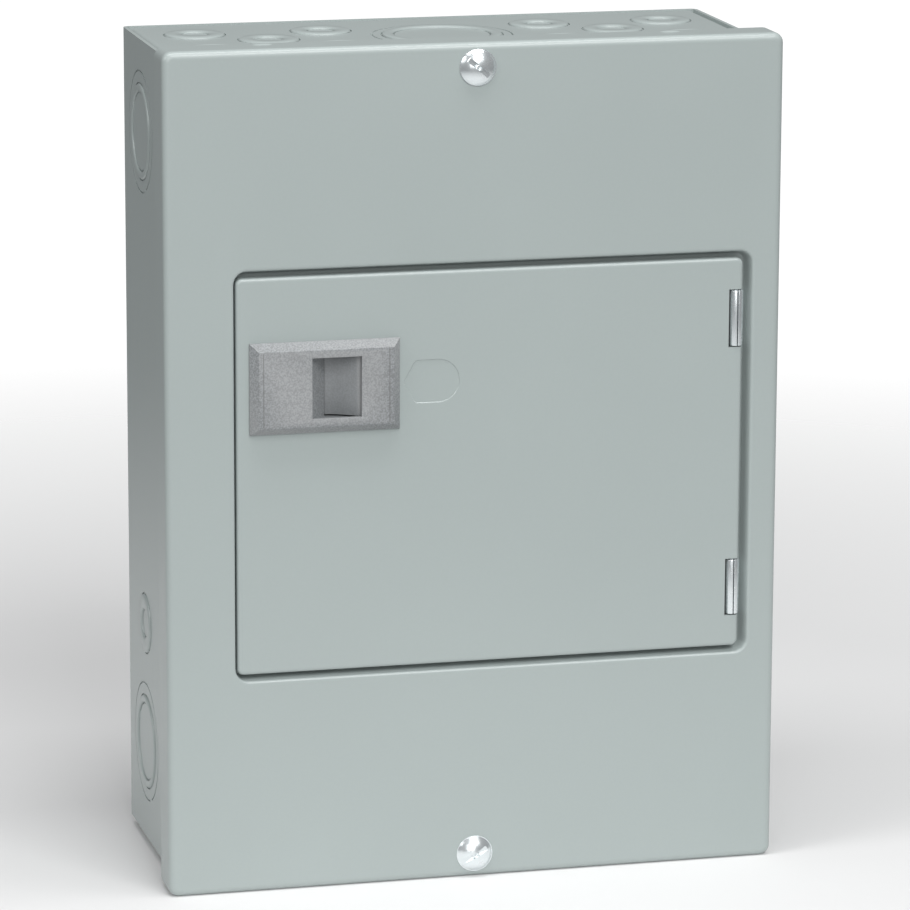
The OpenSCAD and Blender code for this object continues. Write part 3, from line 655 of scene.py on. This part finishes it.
def raised_ring(bm, place, inner, outer, height):
    """A ring of wall left standing proud where a knockout has been part sheared."""
    slope, sunk = 0.55, -0.05
    profile = [(inner, sunk), (inner + slope / 2, height * 0.6), (inner + slope * 1.6, height),
               (outer - slope * 1.6, height), (outer - slope / 2, height * 0.6), (outer, sunk)]
    points = [bm.verts.new((r, 0, z)) for r, z in profile]
    spine = [bm.edges.new(pair) for pair in zip(points, points[1:])]
    start = set(bm.verts) - set(points)
    bmesh.ops.spin(bm, geom=points + spine, cent=(0, 0, 0), axis=(0, 0, 1), dvec=(0, 0, 0),
                   angle=2 * pi, steps=64, use_merge=True, use_duplicate=False)
    bmesh.ops.transform(bm, matrix=place, verts=[v for v in bm.verts if v not in start])


def make_knockout_rings(enamel):
    """The proud rings of the trade-size knockouts, on the end walls and on both sides."""
    half, double, middle, side_large = (5.15, 10.95), (11.3, 13.9), (17.7, 21.8), (14.5, 17.3)
    columns = (-87.5, -41.0, 41.0, 87.5)
    rows = [(x, -26.5, half) for x in columns] + [(x, -67.5, double) for x in columns]
    rows += [(x, -44.5, half) for x in (-64.0, 64.0)] + [(0.0, -44.5, middle)]
    end_z = box_mm("top_endwall")[1].z
    side_x = box_mm("enclosure_wrap")[1].x
    proud = 0.62
    for name, turn in (("top_knockout_rings", 0), ("bottom_knockout_rings", pi)):
        bm = bmesh.new()
        for x, y, (inner, outer) in rows:
            place = Matrix.Rotation(turn, 4, "Y") @ Matrix.Translation((x, y, end_z))
            raised_ring(bm, place, inner, outer, proud)
        finish_piece(name, bm, "enclosure", enamel, [])
    for name, side in (("left_knockout_rings", -1), ("right_knockout_rings", 1)):
        bm = bmesh.new()
        for z, (inner, outer) in ((115.5, side_large), (-112.0, side_large), (-67.0, half)):
            place = Matrix.Translation((side * side_x, -34.0, z)) @ Matrix.Rotation(side * pi / 2, 4, "Y")
            raised_ring(bm, place, inner, outer, proud)
        finish_piece(name, bm, "enclosure", enamel, [])


# ---------------------------------------------------------------- inside the box

def rounded(node, width, segments=2, material=None):
    """A CAD part with the small radii of its own process: moulding, drawing or shearing."""
    bm = bmesh.new()
    bm.from_mesh(frame["nodes"][node].data)
    bmesh.ops.scale(bm, vec=(1 / MM, 1 / MM, 1 / MM), verts=bm.verts[:])
    bmesh.ops.remove_doubles(bm, verts=bm.verts[:], dist=0.004)
    bmesh.ops.dissolve_limit(bm, angle_limit=radians(1), verts=bm.verts[:], edges=bm.edges[:])
    soften(bm, width, 30, segments)
    slot = slot_of[node]
    return finish_piece(node + "_rounded", bm, frame["nodes"][node]["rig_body"], material or finishes[slot],
                        [node], closed=False)


# ---------------------------------------------------------------- stage, light and camera

def make_stage():
    """A pale floor that thins away to nothing round the part."""
    floor = bpy.data.meshes.new("floor")
    bm = bmesh.new()
    bmesh.ops.create_grid(bm, x_segments=1, y_segments=1, size=8.0,
                          matrix=Matrix.Translation((0, 0, COVER[2] * MM)))
    bm.to_mesh(floor)
    bm.free()
    stage = bpy.data.objects.new("floor", floor)
    bpy.context.scene.collection.objects.link(stage)
    pale = Finish("pale_floor")
    pale.put("Base Color", pale.blend(pale.noise(3.0), shade(0.7), shade(0.74)))
    away = pale.make("VectorMath", {"operation": "LENGTH"}, {0: pale.place}, "Value")
    pale.put("Alpha", pale.fade(away, 0.35, 0.9, 1.0, 0.0))
    pale.shader.inputs["Roughness"].default_value = 0.9
    pale.shader.inputs["Emission Color"].default_value = (1, 1, 1, 1)
    pale.shader.inputs["Emission Strength"].default_value = 0.06
    floor.materials.append(pale.material)


def softbox(name, place, target, size, power):
    light = bpy.data.lights.new(name, "AREA")
    light.shape = "RECTANGLE"
    light.size, light.size_y = size
    light.energy = power
    lamp = bpy.data.objects.new(name, light)
    lamp.location = place
    lamp.rotation_euler = (Vector(target) - Vector(place)).to_track_quat("-Z", "Y").to_euler()
    bpy.context.scene.collection.objects.link(lamp)


def make_light():
    world = bpy.data.worlds.new("studio")
    world.use_nodes = True
    nodes, links = world.node_tree.nodes, world.node_tree.links
    seen = nodes["Background"]
    seen.inputs["Color"].default_value = (1, 1, 1, 1)
    seen.inputs["Strength"].default_value = 1.05
    given = nodes.new("ShaderNodeBackground")
    given.inputs["Color"].default_value = (0.96, 0.98, 1.0, 1)
    given.inputs["Strength"].default_value = 0.2
    mix, path = nodes.new("ShaderNodeMixShader"), nodes.new("ShaderNodeLightPath")
    links.new(path.outputs["Is Camera Ray"], mix.inputs["Fac"])
    links.new(given.outputs["Background"], mix.inputs[1])
    links.new(seen.outputs["Background"], mix.inputs[2])
    links.new(mix.outputs["Shader"], nodes["World Output"].inputs["Surface"])
    bpy.context.scene.world = world
    bpy.context.scene.view_settings.view_transform = "Standard"
    softbox("key", (0.45, -2.2, 2.0), (0, -0.05, 0.05), (1.6, 1.2), 43.5)
    softbox("overhead", (0.0, -0.3, 1.3), (0, -0.05, 0), (1.3, 0.4), 11.5)
    softbox("front_fill", (-0.45, -2.3, 0.7), (0, -0.05, 0.05), (1.4, 1.2), 15.0)
    softbox("left_fill", (-2.0, -0.7, 1.3), (0, -0.05, 0.1), (0.9, 0.8), 10.0)


def make_camera():
    """Long lens, a little left of the cover's middle and above it."""
    around, above, tilt = radians(14.24), radians(12.68), radians(0.21)
    distance, across, up = 1.846, -0.00757, 0.00423
    back = Vector((-sin(around) * cos(above), -cos(around) * cos(above), sin(above)))
    right = Vector((cos(around), -sin(around), 0))
    top = back.cross(right)
    top = top if top.z > 0 else -top
    place = Vector((0, FACE_Y * MM, 0)) + back * distance + right * across + top * up
    right, top = right * cos(tilt) + top * sin(tilt), top * cos(tilt) - right * sin(tilt)
    turn = Matrix((right, top, back)).transposed()
    data = bpy.data.cameras.new("camera")
    data.sensor_width = 36.0
    data.lens = 203.974
    camera = bpy.data.objects.new("camera", data)
    camera.matrix_world = Matrix.Translation(place) @ turn.to_4x4()
    bpy.context.scene.collection.objects.link(camera)
    bpy.context.scene.camera = camera


# ---------------------------------------------------------------- the piece list

enamel = baked_enamel()
zinc = bright_zinc()
latch_grey = moulded_grey()
finishes = {
    "painted_steel": enamel,
    "zinc_steel": zinc,
    "latch_plastic": latch_grey,
    "card": ruled_card(),
    "galvanised_steel": galvanised(),
    "insulator": black_moulding("black_base", 0.035, 0.5, 1400.0, 0.2),
    "tinned_bus": worked_metal("dull_tin", shade(0.56, (1, 0.99, 0.96)), shade(0.7, (1, 0.99, 0.97)),
                               0.34, (1, 1, 0.05), 900.0),
    "bar_alloy": worked_metal("sawn_alloy", shade(0.6), shade(0.78, (0.99, 1, 1.01)),
                              0.3, (0.06, 1, 1), 800.0),
    "green_screw": green_plate(),
    "breaker_plastic": black_moulding("breaker_case", 0.016, 0.42, 1800.0, 0.25),
    "handle_plastic": black_moulding("breaker_handle", 0.010, 0.26, 2400.0, 0.35),
}
slot_of = {part["node"]: part["material_slot"] for part in frame["record"]["subparts"]}
for node, piece in frame["nodes"].items():
    piece.data.materials.clear()
    piece.data.materials.append(finishes[slot_of[node]])

make_stage()
make_light()
make_camera()

make_cover(enamel)
make_cover_screws(zinc)
make_door(enamel)
make_hinge("upper_rolled_strap", HINGE_Z, zinc, "upper_hinge_strap")
make_hinge("lower_rolled_strap", -HINGE_Z, zinc, "lower_hinge_strap")
make_knockout_rings(enamel)
# the latch plate's moulding carries the painted shade of its groove line
rounded("latch_plate", 0.25, 3, moulded_grey(latch_groove_shade_mask))
rounded("latch_slide", 0.2)
make_gate_marks(latch_grey)
coil = rounded("latch_spring", 0.06, 1)
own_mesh(coil)

small_radii = {
    "latch_retainer": 0.3, "mounting_pan": 0.25, "bus_base": 0.5, "bus_bar_a": 0.25, "bus_bar_b": 0.25,
    "main_lug_a": 0.5, "main_lug_b": 0.5, "neutral_bar": 0.35, "neutral_supports": 0.5, "neutral_lug": 0.5,
    "ground_bar": 0.35, "breaker_top_left_case": 0.4, "breaker_middle_left_case": 0.4,
    "breaker_bottom_left_case": 0.4, "two_pole_case": 0.4, "breaker_top_left_handle": 0.4,
    "breaker_middle_left_handle": 0.4, "breaker_bottom_left_handle": 0.4, "two_pole_upper_handle": 0.4,
    "two_pole_lower_handle": 0.4, "filler_plate": 0.3,
}
for node, width in small_radii.items():
    rounded(node, width)
